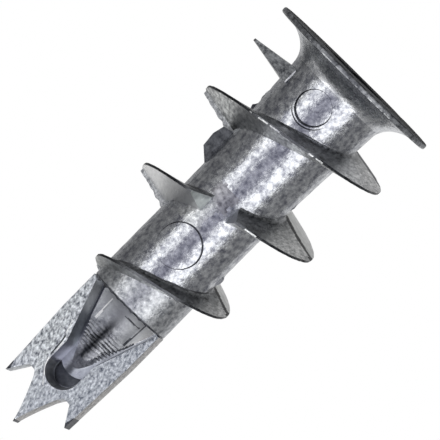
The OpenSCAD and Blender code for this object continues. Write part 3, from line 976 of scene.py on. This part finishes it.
def pocket():
    """Deep crescent between the lip and the window's round end."""
    low = LIP_Z - LIP_R
    beyond = [(-BARREL_R, low), (BARREL_R, low), (BARREL_R, TIP_Z), (-BARREL_R, TIP_Z)]
    form = behind_ledge(POCKET_Y, "pocket")
    combine(form, prism("beyond", beyond, -1, BARREL_R, "pocket"), "INTERSECT")
    return combine(form, prism("lip", disc(WINDOW_X, low, LIP_R), -1, BARREL_R, "pocket"), "DIFFERENCE")


def bore():
    """Screw passage: funnel, straight bore, a taper, a short close into the trough."""
    outline = [(0, -1), (MOUTH_R, -1), (MOUTH_R, 0), (BORE_R, DRIVE_DEPTH), (BORE_R, BORE_STRAIGHT),
               (BORE_END_R, BARREL_L), (LEDGE_Y, BARREL_L + BORE_CLOSE), (0, BARREL_L + BORE_CLOSE)]
    return lathe("bore", outline, "bore", steps=96)


def recess_slot(along_x):
    """One slot of the cross recess."""
    wide = SLOT_L / 2 if along_x else SLOT_W / 2
    deep = SLOT_W / 2 if along_x else SLOT_L / 2
    outline = [(-wide, -1), (wide, -1), (wide, DRIVE_DEPTH), (-wide, DRIVE_DEPTH)]
    return prism("slot", outline, -deep, deep, "bore")


def front_patch(middle_x, half_x, middle_z, half_z, waver, size, seed):
    """Test for faces inside a ragged patch on the barrel's front."""
    def inside(x, y, z, normal):
        return (y < 0 and abs(x - middle_x) < half_x + waver * lumps(x, y, z, size, seed)
                and abs(z - middle_z) < half_z + 0.3 * lumps(x, y, z, 0.4, seed + 1))
    return inside


def head_and_barrel():
    """Head, flare and barrel as one turned form, with the finishes of its skin."""
    form = lathe("anchor_casting", head_and_barrel_outline(), "barrel", wobble=cast_skin)
    # Painted shade on the head face, darkest towards +Y
    paint(form, "head", lambda x, y, z, normal: z < 0.05 and normal.z < -CREST_ON)
    # Painted light: a paler base in the flare's hollow
    paint(form, "flare", lambda x, y, z, normal: RIM_T < z < FLARE_SKIN_Z + 0.1 * lumps(x, y, 0, 0.6, 39))
    paint(form, "barrel_end", lambda x, y, z, normal:
          z > END_SKIN_Z + 0.16 * x + 0.2 * lumps(x, y, z, 0.5, 40))
    paint(form, "smear", front_patch(*SMEAR_PATCH))
    # Painted shade on the barrel under the thread's gap
    paint(form, "gap_floor", front_patch(*GAP_PATCH))
    paint(form, "rim", lambda x, y, z, normal: z < RIM_T + 0.02 and math.hypot(x, y) > FLANGE_R - 0.4
          and normal.z > -CREST_ON)
    paint(form, "dash", lambda x, y, z, normal: RIM_T - RIM_ROUND < z < RIM_T - 0.02
          and math.hypot(x, y) > FLANGE_R - 0.25 and lumps(x, y, 0, 0.4, 31) > 0.05)
    # Painted shade: a dark line on the barrel's rounded end
    paint(form, "edge", lambda x, y, z, normal: z > BARREL_L - END_ROUND - 0.02 and normal.z > 0.1)
    return form


def casting():
    """The whole anchor as one solid."""
    form = head_and_barrel()
    auger = combine(thread(), thread_gap(), "DIFFERENCE")
    far_mark = ejector_mark(FAR_MARK_R - 0.02, FAR_MARK_Z, None, MARK_H, "barrel")
    extras = [auger, blade(), back_boss(), gate_stub(), start_ridge(), far_mark]
    extras += [tooth_end(outline) for outline in TOOTH_ENDS]
    for extra in extras + parting_flash():
        combine(form, extra, "UNION")
    cuts = [bore(), recess_slot(True), recess_slot(False), window(), *window_bevels()]
    cuts += [trough(), channel(), pocket(), ejector_mark(NEAR_MARK_R, NEAR_MARK_Z, -MARK_H, 1, "barrel")]
    for cut in cuts + [ejector_groove(*groove) for groove in EJECTOR_GROOVES]:
        combine(form, cut, "DIFFERENCE")
    form.data.shade_smooth()
    form.data.set_sharp_from_angle(angle=SMOOTH_ANGLE)
    return form


# ---- studio ----

MIDDLE = Vector((0, 0, 16 * MM))


def toward(azimuth, elevation):
    """Unit vector from the object: azimuth 0 is the front, -Y, and grows towards +X."""
    a = math.radians(azimuth)
    e = math.radians(elevation)
    return Vector((math.sin(a) * math.cos(e), -math.cos(a) * math.cos(e), math.sin(e)))


def card(name, azimuths, elevations, distance, level, tint="#ffffff"):
    """Plain glowing card on a sphere around the object, which only the metal's reflections see."""
    verts = []
    across = 6
    up = 4
    for i in range(across + 1):
        for j in range(up + 1):
            azimuth = azimuths[0] + (azimuths[1] - azimuths[0]) * i / across
            elevation = elevations[0] + (elevations[1] - elevations[0]) * j / up
            verts.append(MIDDLE + toward(azimuth, elevation) * distance)
    faces = [(i * (up + 1) + j, (i + 1) * (up + 1) + j, (i + 1) * (up + 1) + j + 1, i * (up + 1) + j + 1)
             for i in range(across) for j in range(up)]
    mesh = bpy.data.meshes.new(name)
    mesh.from_pydata(verts, [], faces)
    piece = bpy.data.objects.new(name, mesh)
    bpy.context.scene.collection.objects.link(piece)
    material = new_material(name)
    glow = add(material.node_tree, "ShaderNodeEmission", Color=linear(tint), Strength=level)
    add(material.node_tree, "ShaderNodeOutputMaterial", Surface=glow.outputs["Emission"])
    piece.data.materials.append(material)
    piece.visible_camera = False
    piece.visible_diffuse = False
    piece.visible_shadow = False


def studio():
    """Two tall soft boxes in front, grey and dark cards between them, lighter ones behind."""
    far = 0.4
    near = 0.36
    card("card_front", (-27, 16), (-16, 35), far, 0.62, "#eeeeff")
    card("card_front_low", (-60, 60), (-30, -17), far, 0.1)
    card("box_right_front", (17, 41), (-16, 45), near, 2.1)
    card("card_mid_side", (42, 68), (-30, 50), far, 0.34)
    card("card_dark_side", (69, 130), (-30, 50), far, 0.25)
    card("card_grey_back", (131, 168), (-12, 15), far, 0.4)
    card("card_light_back", (169, 222), (-12, 15), far, 0.8)
    card("card_grey_side", (223, 297), (-30, 50), far, 0.34)
    card("box_left_front", (298, 332), (-16, 45), near, 2.3)
    card("card_high_back", (131, 222), (16, 30), far, 0.85)
    card("card_top_back", (131, 222), (31, 51), far, 0.45)
    card("card_low_back", (131, 222), (-30, -13), far, 0.55)
    card("card_overhead", (0, 360), (51.5, 90), far, 0.4)
    card("card_under", (0, 360), (-90, -31), far, 0.24)


def lamp(name, azimuth, elevation, distance, size, power):
    """Soft lamp that lights the floor and throws the object's shadow."""
    light = bpy.data.lights.new(name, "AREA")
    light.size = size
    light.energy = power
    piece = bpy.data.objects.new(name, light)
    bpy.context.scene.collection.objects.link(piece)
    piece.location = MIDDLE + toward(azimuth, elevation) * distance
    piece.rotation_euler = (MIDDLE - piece.location).to_track_quat("-Z", "Y").to_euler()
    piece.visible_glossy = False


def floor():
    """Plain pale floor, seen from above only, which keeps the object's shadow."""
    half = 3.0
    mesh = bpy.data.meshes.new("floor")
    corners = [(-half, -half, 0), (half, -half, 0), (half, half, 0), (-half, half, 0)]
    mesh.from_pydata(corners, [], [(0, 1, 2, 3)])
    piece = bpy.data.objects.new("floor", mesh)
    bpy.context.scene.collection.objects.link(piece)
    material = new_material("painted_board")
    tree = material.node_tree
    paint = add(tree, "ShaderNodeBsdfDiffuse", Color=linear("#f2f2f2"))
    clear = add(tree, "ShaderNodeBsdfTransparent")
    below = add(tree, "ShaderNodeNewGeometry").outputs["Backfacing"]
    both = add(tree, "ShaderNodeMixShader", _0=below, _1=paint.outputs[0], _2=clear.outputs[0])
    add(tree, "ShaderNodeOutputMaterial", Surface=both.outputs[0])
    piece.data.materials.append(material)
    piece.visible_glossy = False
    piece.visible_shadow = False


def surroundings():
    """White for the eye and for the metal, a plainer grey for what lights the floor."""
    world = bpy.data.worlds.new("white_room")
    bpy.context.scene.world = world
    world.use_nodes = True
    tree = world.node_tree
    tree.nodes.clear()
    path = add(tree, "ShaderNodeLightPath")
    seen = add(tree, "ShaderNodeMath", {"operation": "MAXIMUM"}, _0=path.outputs["Is Camera Ray"],
               _1=path.outputs["Is Glossy Ray"])
    shown = add(tree, "ShaderNodeMath", {"operation": "MAXIMUM"}, _0=seen.outputs[0],
                _1=path.outputs["Is Transmission Ray"])
    white = add(tree, "ShaderNodeBackground", Color=linear("#ffffff"), Strength=1.0)
    grey = add(tree, "ShaderNodeBackground", Color=linear("#ffffff"), Strength=0.6)
    both = add(tree, "ShaderNodeMixShader", _0=shown.outputs[0], _1=grey.outputs[0], _2=white.outputs[0])
    add(tree, "ShaderNodeOutputWorld", Surface=both.outputs[0])


# ---- camera ----

IMAGE_PX = 440
PX_PER_MM = 14.72
CAMERA_AZIMUTH = -9
CAMERA_DROP = 1.6
CAMERA_DISTANCE = 800
CAMERA_TARGET = Vector((-0.268, 0.043, 13.47))
AXIS_LEAN = math.radians(45.4)


def camera():
    """Long lens from just below the horizon, rolled so that the anchor points down to the left."""
    a = math.radians(CAMERA_AZIMUTH)
    drop = math.tan(math.radians(CAMERA_DROP))
    eye = Vector((math.sin(a), -math.cos(a), -drop)) * CAMERA_DISTANCE
    back = (eye - CAMERA_TARGET).normalized()
    head_way = Vector((0, 0, -1))
    head_way = (head_way - back * head_way.dot(back)).normalized()
    up = head_way * math.sin(AXIS_LEAN) + back.cross(head_way) * math.cos(AXIS_LEAN)
    right = up.cross(back)
    lens = bpy.data.cameras.new("camera")
    lens.sensor_width = 36
    lens.lens = lens.sensor_width * (eye - CAMERA_TARGET).length / (IMAGE_PX / PX_PER_MM)
    lens.clip_start = 0.01
    piece = bpy.data.objects.new("camera", lens)
    bpy.context.scene.collection.objects.link(piece)
    for column, axis in enumerate((right, up, back)):
        for row in range(3):
            piece.matrix_world[row][column] = axis[row]
    piece.location = eye * MM
    bpy.context.scene.camera = piece


# ---- the scene ----

camera()
anchor = casting()
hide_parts(NODE)
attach(anchor, "root")
studio()
lamp("lamp_high", 60, 60, 0.6, 0.35, 4.5)
lamp("lamp_side", -70, 40, 0.6, 0.4, 2.0)
floor()
surroundings()
bpy.context.scene.view_settings.view_transform = "Standard"
